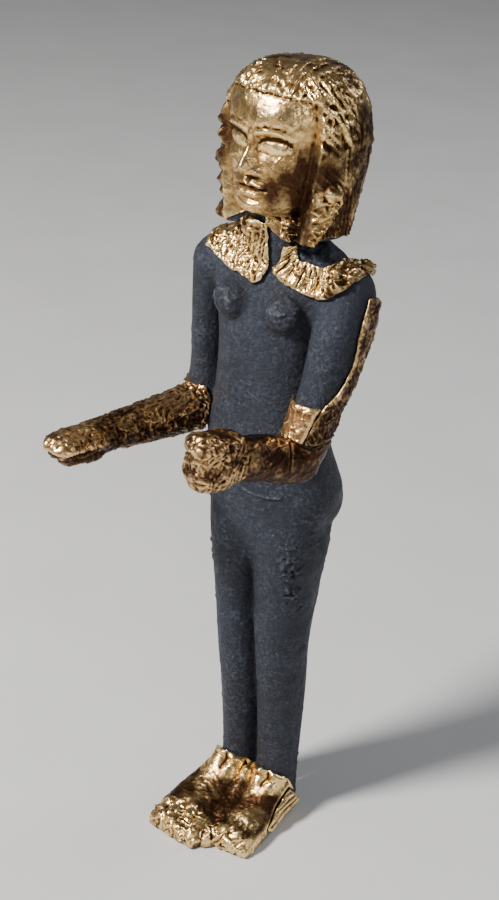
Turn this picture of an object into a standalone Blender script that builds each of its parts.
"""Standing deity figurine: a core cast in bronze, and the gold foils pressed over parts of it.

Metres, +Z up. The figure faces -Y, its left side is +X, and its soles lie on z = 0.
The core is drawn on a canon of 180 units from the sole to the crown.
"""

import bmesh
import bpy
import numpy as np

# Driving dimensions, in metres.
HEIGHT = 0.180
FOIL_THICKNESS = 0.0004
CLEARANCE = 0.0003

# The canon: one unit is a 180th of the height.
UNIT = HEIGHT / 180
SKIN = (FOIL_THICKNESS + CLEARANCE) / UNIT
CROWN = 180 - SKIN
VOXEL = 0.55 * UNIT
CORE_TRIANGLES = 4350
RING_POINTS = 36

# Trunk rings: height, half-width, half-depth, centre y.
TRUNK = (
    (64, 4.0, 3.6, 0.0),
    (70, 7.2, 6.0, 0.0),
    (76, 10.6, 8.3, 0.0),
    (82, 13.9, 10.1, 0.1),
    (88, 15.7, 11.1, 0.1),
    (93, 15.2, 10.4, -1.0),
    (99, 14.1, 9.4, -2.6),
    (107, 12.5, 8.6, -3.6),
    (115, 11.6, 8.2, -4.0),
    (123, 11.6, 8.2, -3.9),
    (130, 13.2, 8.0, -3.2),
    (136, 15.6, 7.4, -2.0),
    (141, 15.6, 6.0, -0.8),
    (144.5, 9.0, 5.4, -0.4),
)
NECK = (
    (0, -0.8, 138, 7.4, 7.0),
    (0, -0.8, 146, 6.9, 6.9),
    (0, -0.6, 156, 7.2, 7.4),
)
# Limb rows: centre x, y, z, then the half-sizes across the figure and square to that.
RIGHT_UPPER_ARM = (
    (-14.8, -0.8, 140.6, 2.6, 3.0),
    (-15.8, -1.0, 136.5, 5.0, 5.8),
    (-16.6, -1.3, 129, 4.2, 5.8),
    (-16.6, -1.8, 116, 3.8, 5.1),
    (-16.5, -2.2, 106, 4.1, 4.7),
    (-16.5, -2.2, 101.2, 3.2, 3.6),
)
RIGHT_FOREARM = (
    (-16.2, 1.4, 103.0, 2.6, 3.0),
    (-16.4, -2.0, 103.0, 4.3, 4.6),
    (-18.8, -15.0, 103.3, 4.0, 4.1),
    (-21.6, -29.5, 104.2, 3.3, 3.1),
    (-22.6, -34.5, 104.6, 3.8, 2.4),
    (-23.6, -39.5, 104.9, 4.0, 2.0),
    (-24.3, -43.0, 105.0, 3.5, 1.6),
    (-24.7, -44.6, 105.0, 2.2, 1.0),
)
RIGHT_THUMB = (
    (-20.6, -32.5, 103.2, 1.3, 1.4),
    (-21.2, -36.0, 102.5, 1.5, 1.3),
    (-22.8, -41.0, 102.5, 1.5, 1.2),
    (-23.4, -43.0, 102.7, 1.0, 0.9),
)
LEFT_UPPER_ARM = (
    (15.0, -1.0, 141.2, 3.2, 3.6),
    (16.0, -2.1, 136.5, 5.1, 6.4),
    (16.6, -4.9, 129, 4.9, 6.9),
    (16.3, -8.4, 120, 4.3, 6.0),
    (15.4, -11.5, 112, 4.0, 5.1),
    (14.5, -13.7, 105, 3.9, 4.7),
    (14.3, -13.7, 101.9, 2.9, 3.6),
)
LEFT_FOREARM = (
    (14.6, -10.8, 103.6, 2.6, 3.0),
    (14.3, -13.6, 103.8, 3.8, 4.3),
    (13.2, -18.5, 105.2, 3.8, 4.2),
    (11.5, -26.0, 107.8, 3.4, 3.8),
    (9.8, -32.5, 109.5, 3.2, 3.8),
)
FIST = (
    (10.3, -32.0, 109.9, 2.6, 3.8),
    (9.5, -34.4, 110.6, 3.7, 5.1),
    (8.7, -37.6, 111.1, 3.9, 5.5),
    (7.9, -40.2, 111.4, 3.3, 4.9),
    (7.6, -41.2, 111.5, 2.0, 3.2),
)
LEFT_LEG = (
    (6.6, 0.2, 88, 7.0, 9.4),
    (6.0, 0.0, 77, 7.3, 9.6),
    (5.3, 0.0, 61, 6.3, 8.4),
    (5.2, -0.2, 48, 5.5, 7.0),
    (5.3, 0.7, 35, 5.2, 6.1),
    (5.3, 1.0, 21, 4.9, 5.2),
    (5.3, 1.0, 12, 4.7, 4.8),
    (5.4, 1.0, 2, 4.5, 4.8),
)
RIGHT_LEG = (
    (-6.7, 0.2, 88, 7.0, 9.4),
    (-6.6, 0.0, 77, 6.6, 9.6),
    (-6.1, 0.0, 61, 5.4, 8.4),
    (-5.6, -0.2, 48, 5.1, 7.0),
    (-5.3, 0.7, 35, 4.8, 6.1),
    (-5.1, 1.0, 21, 4.3, 5.2),
    (-5.0, 1.0, 12, 4.1, 4.8),
    (-5.1, 1.0, 2, 4.1, 4.8),
)
# Foot rows: y, centre x, half-width, height of the top.
FOOT = (
    (5.2, 5.4, 2.2, 4.0),
    (4.0, 5.4, 3.8, 8.0),
    (0.0, 5.5, 4.6, 12.5),
    (-4.5, 5.7, 4.6, 10.6),
    (-9.0, 5.9, 5.1, 7.6),
    (-14.0, 6.0, 5.6, 5.6),
    (-18.0, 6.0, 5.9, 4.5),
    (-21.0, 6.0, 5.6, 3.6),
    (-22.2, 5.9, 4.4, 2.6),
)
# The bronze that fills the valley between the feet, as a limb from heel to toes.
FEET_WEB = (
    (0, 4.0, 1.2, 1.2, 1.6),
    (0, 2.0, 1.6, 2.4, 3.0),
    (0, -8.0, 1.6, 2.4, 3.2),
    (-0.4, -17.0, 1.3, 2.4, 2.5),
    (-0.9, -21.6, 1.2, 2.2, 1.6),
)
# How far each foot reaches forward, and how broad it is, left then right.
FEET = {1: (20.2, 0.90), -1: (24.0, 1.2)}
TOE_EDGES = (3.1, 5.5, 7.5, 9.4)

BREAST = (6.2, -9.6, 131.8, 4.0)
BUTTOCK = (6.4, 3.4, 85.0, 8.3)

# Head: the wig's half-widths to the side, front and back, and where its dome starts.
WIG_SIDE, WIG_FRONT, WIG_BACK = 14.4, 14.0, 15.1
DOME_START = 164.5
WIG_END = 147.0
HEAD_Y = 0.4
HEAD_TURN = -9.0
HAIRLINE = 174.6
CHIN = 151.6
# How much further forward the lappet on the right side comes than the one on the left, in degrees.
RIGHT_LAPPET = 14


# Foil outlines. Collars are drawn on (x, z), the heel flap on (y, z). A collar's back edge is y along x.
RIGHT_COLLAR = (
    (-8.5, 146.2),
    (-7.5, 148.9),
    (0.3, 148.9),
    (0.5, 143.0),
    (0.9, 139.4),
    (0.2, 137.0),
    (-1.8, 136.1),
    (-5.5, 136.9),
    (-10.5, 138.0),
    (-16.0, 139.0),
    (-18.4, 140.0),
    (-21.0, 143.0),
    (-21.0, 146.2),
)
LEFT_COLLAR = (
    (1.2, 140.2),
    (2.4, 144.4),
    (6.4, 144.8),
    (8.0, 148.0),
    (22.0, 148.0),
    (19.6, 141.4),
    (18.4, 139.1),
    (15.8, 137.0),
    (10.7, 135.9),
    (6.2, 137.1),
    (2.4, 138.6),
)
HEEL_FLAP = (
    (-1.2, 8.6),
    (2.8, 3.6),
    (2.2, 1.3),
    (-9.0, 1.3),
    (-10.4, 2.4),
    (-6.2, 6.0),
)
RIGHT_COLLAR_BACK = ((-21, -14, -10, -7, -4, 2), (2.6, 2.2, -1.0, -3.4, -4.2, -4.6))
LEFT_COLLAR_BACK = ((1, 3.2, 5.2, 8.4, 12, 13.5, 16, 22), (-6.0, -6.0, -5.2, -4.4, -2.8, 0.4, 2.4, 2.6))
SLEEVE_END = -6.2
SEAM = 0.5
TORN_EDGE = 0.35
SOLE_GAP = 0.5


def spline(at, keys, values):
    """The smooth curve through values at keys, read at the places in at."""
    at = np.atleast_1d(np.asarray(at, float))
    keys = np.asarray(keys, float)
    values = np.asarray(values, float)
    slopes = np.gradient(values, keys, axis=0)
    index = np.clip(np.searchsorted(keys, at) - 1, 0, len(keys) - 2)
    span = keys[index + 1] - keys[index]
    t = np.clip((at - keys[index]) / span, 0, 1)
    if values.ndim == 2:
        t = t[:, None]
        span = span[:, None]
    start, end = values[index], values[index + 1]
    out, into = slopes[index] * span, slopes[index + 1] * span
    blend = t * t * (3 - 2 * t)
    return start + (end - start) * blend + (out * (1 - t) - into * t) * t * (1 - t)


def step(value, low, high):
    """0 below low, 1 above high, and smooth between."""
    t = np.clip((value - low) / (high - low), 0, 1)
    return t * t * (3 - 2 * t)


def hump(distance, width):
    """1 at distance 0, and about nothing beyond twice the width."""
    return np.exp(-((distance / width) ** 2))


def squircle(count, power):
    """Points of a unit superellipse, turning from +X towards +Y."""
    turn = np.linspace(0, 2 * np.pi, count, endpoint=False)
    ends = np.stack([np.cos(turn), np.sin(turn)], axis=1)
    return ends / (np.abs(ends) ** power).sum(axis=1, keepdims=True) ** (1 / power)


def skin(bm, rings):
    """Adds a closed skin through rings of points, with a flat cap at each end."""
    loops = [[bm.verts.new(point) for point in ring] for ring in rings]
    for low, high in zip(loops, loops[1:]):
        for i in range(len(low)):
            j = (i + 1) % len(low)
            bm.faces.new((low[i], low[j], high[j], high[i]))
    bm.faces.new(loops[0][::-1])
    bm.faces.new(loops[-1])


def refine(rows, steps=5):
    """More rows along the smooth curve through the given ones."""
    rows = np.asarray(rows, float)
    keys = np.arange(len(rows))
    return spline(np.linspace(0, len(rows) - 1, (len(rows) - 1) * steps + 1), keys, rows)


def trunk(bm):
    outline = squircle(RING_POINTS, 2.35)
    rings = []
    for z, half_width, half_depth, y in refine(TRUNK):
        ring = outline * (half_width, half_depth) + (0, y)
        rings.append(np.column_stack([ring, np.full(len(ring), z)]))
    skin(bm, rings)


def limb(bm, rows, power=2.0):
    """A closed skin through ellipses that stand square to the limb's own line."""
    rows = refine(rows)
    lines = np.gradient(rows[:, :3], axis=0)
    lines /= np.linalg.norm(lines, axis=1, keepdims=True)
    outline = squircle(RING_POINTS, power)
    rings = []
    for row, line in zip(rows, lines):
        across = np.array((1.0, 0, 0)) - line[0] * line
        across /= np.linalg.norm(across)
        other = np.cross(line, across)
        rings.append(row[:3] + outline[:, :1] * row[3] * across + outline[:, 1:] * row[4] * other)
    skin(bm, rings)


def foot(bm, side):
    """One foot, heel to toes. The toe line slants back towards the little toe."""
    reach, breadth = FEET[side]
    reach /= -FOOT[-1][0]
    outline = squircle(RING_POINTS, 2.3)
    rings = []
    for y, x, half_width, top in refine(FOOT):
        along = y * reach if y < 0 else y
        across = (x + outline[:, 0] * half_width) * (1 + (breadth - 1) * step(-y, 0, 12))
        slant = 0.03 * np.clip(across - 3, 0, None) ** 1.6 * step(-along, 8, 18)
        height = top / 2 + outline[:, 1] * (top / 2 + 0.8) - 0.4
        rings.append(np.column_stack([across * side, along + slant, height]))
    skin(bm, rings)


def ball(bm, centre, radius):
    turn = np.linspace(0.02, np.pi - 0.02, 12)
    outline = squircle(RING_POINTS, 2.0)
    rings = []
    for angle in turn:
        ring = outline * np.sin(angle) * radius
        rings.append(np.column_stack([ring, np.full(len(ring), -np.cos(angle) * radius)]) + centre)
    skin(bm, rings)


def wig_radius(turn, z):
    """Distance of the wig from the head's axis. turn is 0 at the front and grows towards the left ear."""
    front = np.cos(turn)
    depth = np.where(front > 0, WIG_FRONT, WIG_BACK)
    radius = 1 / np.sqrt((np.sin(turn) / WIG_SIDE) ** 2 + (front / depth) ** 2)
    rise = np.clip((z - DOME_START) / (CROWN - DOME_START), 0, 1)
    dome = np.clip(1 - rise**2.35, 0, 1) ** (1 / 2.35)
    behind = step(-front, 0.0, 0.75)
    hang = spline(z, (146, 150, 155, 160, 165), (0.73, 0.78, 0.86, 0.94, 0.99))
    lappet = spline(z, (146, 149, 155, 165), (0.89, 0.93, 0.97, 1.0))
    radius = radius * dome * (hang * behind + lappet * (1 - behind))
    below = step(z, DOME_START + 9, DOME_START - 2)
    angle = np.degrees(turn)
    right_lappet = step(-angle, 36, 44) * step(-angle, 104, 94)
    # Twisted locks hang on the right lappet, the left one is smoothed over, and plain strands hang behind.
    twist = np.abs(np.sin(np.pi * (z / 4.6 - (angle + 60) / 52)))
    strands = np.cos(turn * 20)
    locks = right_lappet * (0.55 - 0.9 * (1 - twist) ** 1.5) + behind * 0.22 * strands
    return radius + below * locks


def face_window(turn, z):
    """1 where the wig is open over the face and the front of the neck, and 0 elsewhere."""
    angle = np.degrees(turn)
    arch = HAIRLINE - 0.00028 * angle**2
    edge = spline(z, (142, 150, 158, 166, 180), (46, 50, 55, 59, 60))
    reach = edge - RIGHT_LAPPET * (angle < 0)
    return step(np.abs(angle), reach + 2.5, reach - 2.5) * step(z, arch + 0.7, arch - 0.7)


def face_radius(turn, z):
    """Distance of the bare face and the neck under it from the head's axis."""
    up = z - CHIN
    keys = (-10.6, -1.2, 0, 1.2, 3.6, 8.0, 14.0, 20.4, 26.4)
    width = spline(up, keys, (7.0, 6.9, 7.3, 8.3, 9.3, 10.3, 10.9, 10.9, 8.8))
    keys = (-10.6, -1.8, -0.8, 0, 1.4, 4.6, 7.6, 10.6, 14.1, 16.2, 18.9, 21.4, 23.4, 26.4)
    depths = (7.0, 7.4, 8.6, 11.2, 12.1, 12.2, 12.1, 11.9, 11.5, 12.4, 12.5, 11.7, 10.6, 8.6)
    depth = spline(up, keys, depths)
    power = 2.3
    across = np.abs(np.sin(turn)) / width
    ahead = np.clip(np.cos(turn), 0, None) / depth
    return (across**power + ahead**power) ** (-1 / power)


def face_relief(x, z):
    """How far brows, eyes, nose, lips and chin stand out of the face. All of it is on the usual thirds."""
    side = np.abs(x)
    up = z - CHIN
    nose_line = spline(up, (7.2, 8.2, 9.2, 12.1, 15.0, 16.6), (0, 1.6, 2.9, 2.1, 0.9, 0))
    nose_width = spline(up, (7.2, 9.0, 11.6, 16.6), (1.5, 1.5, 1.15, 1.1))
    nose = nose_line * hump(side, nose_width)
    wings = 0.9 * hump(np.hypot(side - 1.55, up - 8.8), 0.85)
    brow_height = 15.5 + 0.9 * hump(side - 4.6, 3.2)
    brows = 0.4 * hump(up - brow_height, 0.6) * step(side, 8.2, 6.6)
    sockets = -0.35 * hump(np.hypot((side - 4.2) / 3.2, (up - 13.9) / 1.7), 0.9)
    eyes = 0.75 * np.sqrt(np.clip(1 - ((side - 4.1) / 2.6) ** 2 - ((up - 13.7) / 1.15) ** 2, 0, 1))
    mouth_end = step(side, 3.6, 2.4)
    upper_lip = 0.75 * hump(up - 6.0 + 0.12 * hump(side, 0.7), 0.62)
    lower_lip = 0.8 * hump(up - 4.4, 0.72)
    parting = -0.45 * hump(up - 5.25, 0.33)
    lips = (upper_lip + lower_lip + parting) * mouth_end
    chin = 0.5 * hump(np.hypot(side / 1.5, up - 1.8), 1.5)
    return nose + wings + brows + sockets + eyes + lips + chin


def head(bm):
    """Wig, face and the top of the neck as one closed skin about the head's axis."""
    turns = np.linspace(-np.pi, np.pi, 176, endpoint=False)
    low = np.linspace(WIG_END, DOME_START, 62)
    climb = np.linspace(0, 1, 36)[1:]
    high = DOME_START + (CROWN - DOME_START) * np.sin(climb * np.pi / 2 * 0.998)
    rings = []
    for z in np.concatenate([low, high]):
        wig = wig_radius(turns, z)
        face = face_radius(turns, z)
        x = face * np.sin(turns)
        face = face + face_relief(x, z) * step(np.cos(turns), 0.55, 0.8)
        window = face_window(turns, z)
        radius = wig * (1 - window) + np.minimum(face, wig + 3.2) * window
        ways = turns + np.radians(HEAD_TURN)
        ring = (radius * np.sin(ways), HEAD_Y - radius * np.cos(ways), np.full(len(turns), z))
        rings.append(np.column_stack(ring))
    skin(bm, rings)


def to_segment(points, start, end):
    """Distance of every point from a straight piece, and how far along it each one lies."""
    start, end = np.asarray(start, float), np.asarray(end, float)
    line = end - start
    share = np.clip((points - start) @ line / (line @ line), 0, 1)
    return np.linalg.norm(points - start - share[:, None] * line, axis=1), share


def hand_grooves():
    """Grooves between the fingers of the open hand, then of the fist: start, end, width, depth."""
    grooves = []
    for across in (-1.75, 0.0, 1.75):
        start = (-23.3 + across, -38.0, 107.0)
        end = (-24.5 + across * 0.85, -45.4, 106.2)
        grooves.append((start, end, 0.45, 0.5))
    for height in (107.6, 110.2, 112.9):
        grooves.append(((5.3, -34.6, height), (4.8, -40.0, height + 0.3), 0.55, 0.6))
        grooves.append(((4.8, -40.6, height + 0.3), (9.6, -42.4, height + 0.3), 0.55, 0.6))
    return grooves


def toe_grooves():
    grooves = []
    for side, (reach, breadth) in FEET.items():
        for edge in TOE_EDGES:
            across = edge * breadth
            start = (side * across, -reach + 5.5, 5.2)
            end = (side * across, -reach - 0.4 + 0.03 * (across - 2) ** 1.7, 1.2)
            grooves.append((start, end, 0.7, 0.55))
    return grooves


def body_grooves():
    """Groin folds, the crease under the belly, and the line of the back."""
    grooves = []
    for side in (1, -1):
        grooves.append(((side * 11.5, -8.0, 91.5), (side * 2.5, -10.4, 82.5), 1.1, 0.35))
    grooves.append(((0, 6.6, 134), (0, 6.2, 104), 1.5, 0.5))
    grooves.append(((0, 10.0, 90), (0, 10.5, 78), 1.0, 1.0))
    return grooves


def sculpt(points, normals):
    """Presses the grooves into the core along its own normals."""
    depth = np.zeros(len(points))
    for start, end, width, amount in hand_grooves() + toe_grooves() + body_grooves():
        distance, _ = to_segment(points, start, end)
        depth = np.maximum(depth, amount * hump(distance, width))
    points = points - normals * depth[:, None]
    points[:, 2] = np.maximum(points[:, 2], 0)
    return points


def normals_of(mesh):
    normals = np.empty(len(mesh.vertices) * 3)
    mesh.vertices.foreach_get("normal", normals)
    return normals.reshape(-1, 3)


def points_of(mesh):
    points = np.empty(len(mesh.vertices) * 3)
    mesh.vertices.foreach_get("co", points)
    return points.reshape(-1, 3)


def set_points(mesh, points):
    mesh.vertices.foreach_set("co", np.ascontiguousarray(points, float).ravel())
    mesh.update()


def evaluated(obj):
    """Applies the object's modifiers, in place."""
    graph = bpy.context.evaluated_depsgraph_get()
    mesh = bpy.data.meshes.new_from_object(obj.evaluated_get(graph))
    obj.modifiers.clear()
    obj.data = mesh
    return obj


def metal(name, colour, roughness):
    material = bpy.data.materials.new(name)
    material.use_nodes = True
    surface = material.node_tree.nodes["Principled BSDF"]
    surface.inputs["Base Color"].default_value = (*colour, 1)
    surface.inputs["Metallic"].default_value = 1
    surface.inputs["Roughness"].default_value = roughness
    return material


def blend_body(core):
    """Rounds the joins of limbs and trunk, and leaves the head, the hands and the feet sharp."""
    x, y, z = points_of(core.data).T / UNIT
    weights = step(y, -30, -22) * step(z, 9, 15) * step(z, 145, 141)
    group = core.vertex_groups.new(name="body")
    for index in np.nonzero(weights > 0)[0]:
        group.add([int(index)], float(weights[index]), "REPLACE")
    blend = core.modifiers.new("blend", "SMOOTH")
    blend.vertex_group = group.name
    blend.factor = 0.5
    blend.iterations = 14
    evaluated(core)
    core.vertex_groups.clear()


def make_core():
    """The whole cast figure as one closed mesh."""
    bm = bmesh.new()
    trunk(bm)
    limb(bm, NECK)
    limb(bm, RIGHT_UPPER_ARM)
    limb(bm, RIGHT_FOREARM)
    limb(bm, RIGHT_THUMB)
    limb(bm, LEFT_UPPER_ARM, 2.4)
    limb(bm, LEFT_FOREARM, 2.2)
    limb(bm, FIST, 2.6)
    limb(bm, FEET_WEB)
    limb(bm, LEFT_LEG, 2.2)
    limb(bm, RIGHT_LEG, 2.2)
    for side in (1, -1):
        foot(bm, side)
        ball(bm, (side * BREAST[0], *BREAST[1:3]), BREAST[3])
        ball(bm, (side * BUTTOCK[0], *BUTTOCK[1:3]), BUTTOCK[3])
    head(bm)
    bmesh.ops.scale(bm, vec=(UNIT, UNIT, UNIT), verts=bm.verts)
    bmesh.ops.recalc_face_normals(bm, faces=bm.faces)
    mesh = bpy.data.meshes.new("figure")
    bm.to_mesh(mesh)
    bm.free()
    core = bpy.data.objects.new("figure", mesh)
    bpy.context.scene.collection.objects.link(core)
    fuse = core.modifiers.new("fuse", "REMESH")
    fuse.mode = "VOXEL"
    fuse.voxel_size = VOXEL
    soften = core.modifiers.new("soften", "SMOOTH")
    soften.factor = 0.5
    soften.iterations = 2
    evaluated(core)
    blend_body(core)
    points = sculpt(points_of(core.data) / UNIT, normals_of(core.data))
    set_points(core.data, points * UNIT)
    thin = core.modifiers.new("thin", "DECIMATE")
    thin.ratio = CORE_TRIANGLES / (2 * len(core.data.polygons))
    evaluated(core)
    points = points_of(core.data)
    points[points[:, 2] < 0.12 * UNIT, 2] = 0
    set_points(core.data, points)
    return core


def torn(points, size=TORN_EDGE):
    """A small wander that makes a foil's edge look torn."""
    x, y, z = points.T
    return size * (np.sin(2.1 * x + 1.3 * z + 0.7 * y) + 0.6 * np.sin(4.7 * x - 3.1 * z + 2.6 * y))


def in_outline(across, up, outline):
    """Distance inside a closed outline, negative outside it."""
    spots = np.column_stack([across, up, np.zeros(len(across))])
    corners = [(*corner, 0.0) for corner in outline]
    nearest = np.full(len(spots), np.inf)
    inside = np.zeros(len(spots), bool)
    for start, end in zip(corners, corners[1:] + corners[:1]):
        nearest = np.minimum(nearest, to_segment(spots, start, end)[0])
        crosses = (start[1] > up) != (end[1] > up)
        rise = end[1] - start[1] if end[1] != start[1] else 1.0
        inside ^= crosses & (across < start[0] + (up - start[1]) * (end[0] - start[0]) / rise)
    return np.where(inside, nearest, -nearest)


def near_arm(points, rows, reach):
    """Distance inside a sleeve of the given reach around an arm's line."""
    nearest = np.full(len(points), np.inf)
    for start, end in zip(rows, rows[1:]):
        nearest = np.minimum(nearest, to_segment(points, start[:3], end[:3])[0])
    return reach - nearest


def off_trunk(points):
    """How far a point lies outside the trunk's outline at its own height."""
    x, y, z = points.T
    heights, *columns = np.array(TRUNK).T
    half_width, half_depth, centre = (spline(z, heights, column) for column in columns)
    reach = (np.abs(x / half_width) ** 2.35 + np.abs((y - centre) / half_depth) ** 2.35) ** (1 / 2.35)
    return np.hypot(x, y - centre) * (1 - 1 / reach)


def off_neck(points):
    """How far a point lies outside the neck."""
    x, y, z = points.T
    return np.hypot(x - NECK[1][0], y - NECK[1][1]) - NECK[1][3]


def head_field(points):
    x, y, z = points.T
    turn = np.degrees(np.arctan2(x, HEAD_Y - y)) - HEAD_TURN
    under_chin = step(turn, -40, -34) * step(turn, 46, 40)
    field = z - WIG_END - 0.8 - 3.2 * under_chin + torn(points, 0.15)
    return np.minimum(field, off_neck(points) - 1.4 + 30 * step(z, CHIN - 1.1, CHIN + 0.9))


def right_collar_field(points):
    x, y, z = points.T
    inside = in_outline(x, z, RIGHT_COLLAR) + torn(points, 0.2)
    inside = np.minimum(inside, 0.9 - off_neck(points) + 9 * step(z, 146.4, 145.0))
    return np.minimum(inside, spline(x, *RIGHT_COLLAR_BACK) - y)


def left_collar_field(points):
    x, y, z = points.T
    inside = in_outline(x, z, LEFT_COLLAR) + torn(points)
    return np.minimum(inside, spline(x, *LEFT_COLLAR_BACK) - y)


def right_arm_field(points):
    x, y, z = points.T
    rim = SLEEVE_END - y + 0.6 * np.clip(-14.5 - x, 0, 8) + torn(points, 0.25)
    rim = np.minimum(rim, 108.6 - z + 0.6 * np.clip(-8 - y, 0, None))
    sleeve = np.minimum(rim, near_arm(points, RIGHT_FOREARM, 9.0))
    return np.minimum(sleeve, off_trunk(points) - 2 * SEAM)


def upper_arm_turn(points):
    """Angle about the left upper arm: 0 behind, 90 on its outer side, 180 in front."""
    x, y, z = points.T
    across, ahead, heights = np.array(LEFT_UPPER_ARM)[::-1, :3].T
    turn = np.arctan2(x - spline(z, heights, across), y - spline(z, heights, ahead))
    return np.degrees(turn) % 360


def strip_edge(z):
    """Where the strip on the left upper arm ends towards the front: its angle at a height."""
    heights = (110, 114, 117, 119.5, 123, 128, 134, 138)
    return spline(z, heights, (152, 149, 140, 118, 102, 110, 112, 102))


def above_elbow(y, z):
    """How far a point of the left arm lies above the seam at the elbow."""
    return z - 108.4 - 0.5 * np.clip(-16.0 - y, 0, None)


def left_upper_arm_field(points):
    x, y, z = points.T
    turn = (upper_arm_turn(points) + 90) % 360 - 90
    field = 0.09 * np.minimum(strip_edge(z) - turn, turn + 15)
    field = np.minimum(field, 137.2 - z - 0.4 * (y + 3))
    field = np.minimum(field, above_elbow(y, z) - SEAM) + torn(points, 0.15)
    return np.minimum(field, off_trunk(points) - 2 * SEAM)


def left_arm_field(points):
    x, y, z = points.T
    sleeve = -above_elbow(y, z) - SEAM
    turn = upper_arm_turn(points)
    patch = 0.09 * np.minimum(turn - strip_edge(z), 255 - turn) - 2 * SEAM
    patch = np.minimum(patch, np.minimum(116.6 - z, near_arm(points, LEFT_UPPER_ARM, 7.6)))
    near = np.maximum(near_arm(points, LEFT_FOREARM, 8.0), near_arm(points, FIST, 9.0))
    field = np.maximum(np.minimum(sleeve, near), patch) + torn(points, 0.15)
    return np.minimum(field, off_trunk(points) - 2 * SEAM)


def heel_flap_field(points):
    x, y, z = points.T
    return np.minimum(in_outline(y, z, HEEL_FLAP) + torn(points, 0.12), x - 6.0)


def feet_field(points):
    x, y, z = points.T
    top = spline(y, (-24, -3.4, -1, 0.8, 3.4, 6), (16, 13.6, 11.4, 7.4, 2.4, -3))
    flap = in_outline(y, z, HEEL_FLAP) + 2 * SEAM
    beside = np.where(x > 6.0, -flap, 9.0)
    cleft = -1.0 - y + 1.3 * np.clip(np.abs(x) - 2, 0, None)
    field = np.minimum(top - z + torn(points, 0.3), np.minimum(beside, cleft))
    return np.minimum(field, z - SOLE_GAP)


def crossing(field, start, end):
    """The share of the way from start to end at which the field changes sign."""
    low = np.zeros(len(start))
    high = np.ones(len(start))
    begins = field(start) > 0
    for _ in range(24):
        middle = (low + high) / 2
        same = (field(start + middle[:, None] * (end - start)) > 0) == begins
        low = np.where(same, middle, low)
        high = np.where(same, high, middle)
    return (low + high) / 2


def patch_of(core, field, seed, snap=0.22):
    """The part of the core's surface where the field is positive, around the seed.

    Returns its points, the core's normals there, its triangles, and how deep inside each point lies.
    """
    mesh = core.data
    mesh.calc_loop_triangles()
    triangles = np.array([t.vertices[:] for t in mesh.loop_triangles])
    points = points_of(mesh) / UNIT
    normals = even_normals(points, triangles)
    edges = np.unique(np.sort(triangles[:, [0, 1, 1, 2, 2, 0]].reshape(-1, 2), axis=1), axis=0)
    depth = field(points)
    cut = edges[(depth[edges[:, 0]] > 0) != (depth[edges[:, 1]] > 0)]
    share = crossing(field, points[cut[:, 0]], points[cut[:, 1]])
    # A point that lies next to the outline moves onto it, so that no sliver is left.
    moved = {}
    for (a, b), t in zip(cut, share):
        near, far, way = (a, b, t) if t < 0.5 else (b, a, 1 - t)
        if way < moved.get(near, (snap,))[0]:
            moved[near] = (way, far)
    original, bent = points.copy(), normals.copy()
    for near, (way, far) in moved.items():
        points[near] = original[near] + way * (original[far] - original[near])
        bent[near] = normals[near] + way * (normals[far] - normals[near])
        depth[near] = 0
    new_points, new_normals, at_edge = list(points), list(bent), {}
    for (a, b), t in zip(cut, share):
        if depth[a] != 0 and depth[b] != 0:
            at_edge[a, b] = at_edge[b, a] = len(new_points)
            new_points.append(original[a] + t * (original[b] - original[a]))
            new_normals.append(normals[a] + t * (normals[b] - normals[a]))
    kept = []
    for triangle in triangles:
        ring = []
        for i in range(3):
            here, after = triangle[i], triangle[(i + 1) % 3]
            if depth[here] >= 0:
                ring.append(here)
            if (here, after) in at_edge:
                ring.append(at_edge[here, after])
        if len(ring) >= 3 and (depth[triangle] > 0).any():
            kept += [(ring[0], ring[i], ring[i + 1]) for i in range(1, len(ring) - 1)]
    kept = around(np.array(kept), np.array(new_points), seed)
    used, index = np.unique(kept, return_inverse=True)
    points = np.array(new_points)[used]
    return points, np.array(new_normals)[used], index.reshape(-1, 3), field(points)


def even_normals(points, triangles):
    """Point normals, lengthened at creases so that a shift along them moves every face alike."""
    corners = points[triangles]
    across = np.cross(corners[:, 1] - corners[:, 0], corners[:, 2] - corners[:, 0])
    flat = across / np.linalg.norm(across, axis=1, keepdims=True)
    normals = np.zeros_like(points)
    for i in range(3):
        np.add.at(normals, triangles[:, i], across)
    normals /= np.linalg.norm(normals, axis=1, keepdims=True)
    lean = np.ones(len(points))
    for i in range(3):
        np.minimum.at(lean, triangles[:, i], (flat * normals[triangles[:, i]]).sum(axis=1))
    return normals / np.clip(lean, 0.7, 1)[:, None]


def around(triangles, points, seed):
    """The triangles that hang together, edge to edge, with the one nearest to the seed."""
    parent = list(range(len(triangles)))

    def root(i):
        while parent[i] != i:
            parent[i] = parent[parent[i]]
            i = parent[i]
        return i

    owners = {}
    for i, (a, b, c) in enumerate(triangles):
        for edge in ((a, b), (b, c), (c, a)):
            parent[root(owners.setdefault(frozenset(edge), i))] = root(i)
    centres = points[triangles].mean(axis=1)
    nearest = root(int(np.linalg.norm(centres - seed, axis=1).argmin()))
    return triangles[[root(i) == nearest for i in range(len(triangles))]]


def crumple(points, size):
    """Small dents and ridges of hand-pressed foil, from 0 to about size."""
    x, y, z = points.T
    wave = np.sin(1.9 * x + 0.8 * y - 1.1 * z) + np.sin(1.3 * y + 2.2 * z - 0.6 * x)
    return size * (0.5 + 0.25 * wave)


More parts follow.
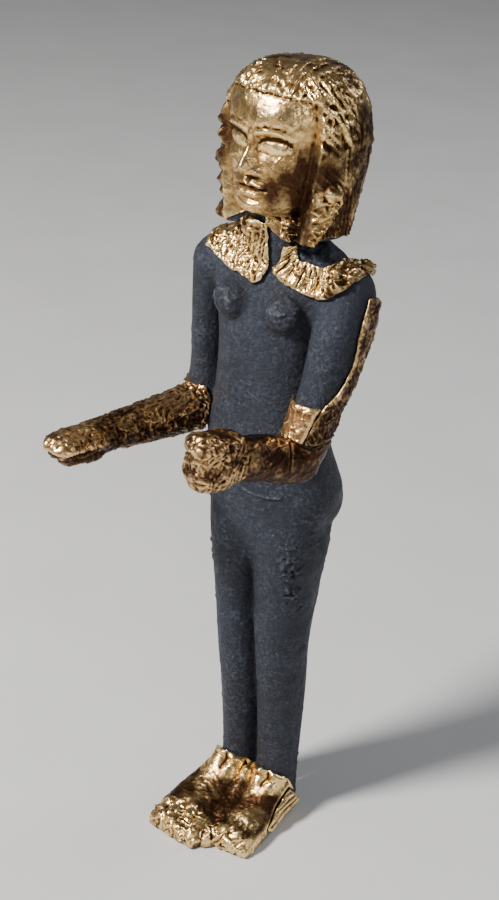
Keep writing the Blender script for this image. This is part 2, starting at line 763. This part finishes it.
def make_foil(name, core, field, seed, material, lift=0.0, rough=0.2):
    """A closed sheet of foil that follows the core at the clearance, with its edge lifted by lift."""
    points, normals, triangles, depth = patch_of(core, field, seed)
    raised = lift * hump(depth, 1.4)
    inner = points + normals * (CLEARANCE / UNIT + raised)[:, None]
    outer = points + normals * (SKIN + raised + crumple(points, rough))[:, None]
    bm = bmesh.new()
    for sheet in (inner, outer):
        sheet[:, 2] = np.maximum(sheet[:, 2], SOLE_GAP)
    below = [bm.verts.new(point * UNIT) for point in inner]
    above = [bm.verts.new(point * UNIT) for point in outer]
    edges = set()
    for a, b, c in triangles:
        bm.faces.new((above[a], above[b], above[c]))
        bm.faces.new((below[c], below[b], below[a]))
        edges |= {(a, b), (b, c), (c, a)}
    for a, b in edges:
        if (b, a) not in edges:
            bm.faces.new((below[a], below[b], above[b], above[a]))
    mesh = bpy.data.meshes.new(name)
    bm.to_mesh(mesh)
    bm.free()
    mesh.materials.append(material)
    foil = bpy.data.objects.new(name, mesh)
    bpy.context.scene.collection.objects.link(foil)
    foil.parent = core
    return foil


def main():
    for obj in list(bpy.data.objects):
        bpy.data.objects.remove(obj)
    core = make_core()
    core.data.materials.append(metal("dark bronze", (0.035, 0.038, 0.045), 0.6))
    gold = metal("gold foil", (0.80, 0.52, 0.19), 0.35)
    red_gold = metal("reddened gold foil", (0.55, 0.28, 0.12), 0.4)
    make_foil("head_foil", core, head_field, (0, 15, 165), gold)
    make_foil("right_collar_foil", core, right_collar_field, (-8, -8, 140), gold, lift=0.3)
    make_foil("left_collar_foil", core, left_collar_field, (10, -8, 139), gold, lift=0.4)
    make_foil("right_arm_foil", core, right_arm_field, (-19, -20, 107), red_gold)
    make_foil("left_arm_foil", core, left_arm_field, (12, -24, 110), red_gold)
    make_foil("left_upper_arm_foil", core, left_upper_arm_field, (22, -4, 125), red_gold)
    make_foil("feet_foil", core, feet_field, (-6, -14, 7), gold)
    make_foil("left_heel_foil", core, heel_flap_field, (9.5, -3, 4), gold, lift=0.9)


main()
